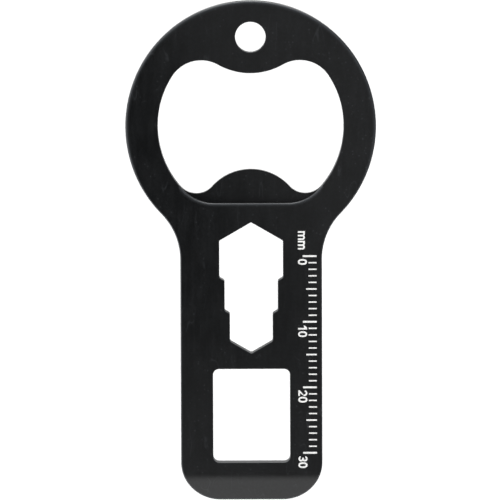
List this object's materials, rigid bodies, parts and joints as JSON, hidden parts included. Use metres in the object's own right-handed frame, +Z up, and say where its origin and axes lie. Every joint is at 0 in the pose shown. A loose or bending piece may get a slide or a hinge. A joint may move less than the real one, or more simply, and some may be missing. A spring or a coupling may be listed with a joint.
{
  "type": "keychain bottle opener",
  "caption": "Flat keychain bottle opener with a ring hole, a recessed lifting tooth, a stepped hex wrench, a window, a bevelled pry tip and a printed ruler.",
  "frame": {"origin": "centre of the key ring hole, midway through the plate's thickness", "axes": "+Z up from the pry tip to the ring hole, as the plate hangs; the printed front faces -Y, the plain back faces +Y, and +X is to the right of the front"},
  "size_m": [0.038, 0.003, 0.0761],
  "materials": {
    "black_anodised_plate": "satin",
    "white_ink": "matte"
  },
  "bodies": {
    "root": {"plate": "black_anodised_plate", "millimetre_ticks": "white_ink", "five_millimetre_ticks": "white_ink", "ten_millimetre_ticks": "white_ink", "numeral_0": "white_ink", "numeral_10": "white_ink", "numeral_20": "white_ink", "numeral_30": "white_ink", "unit_mark": "white_ink"}
  },
  "joints": []
}
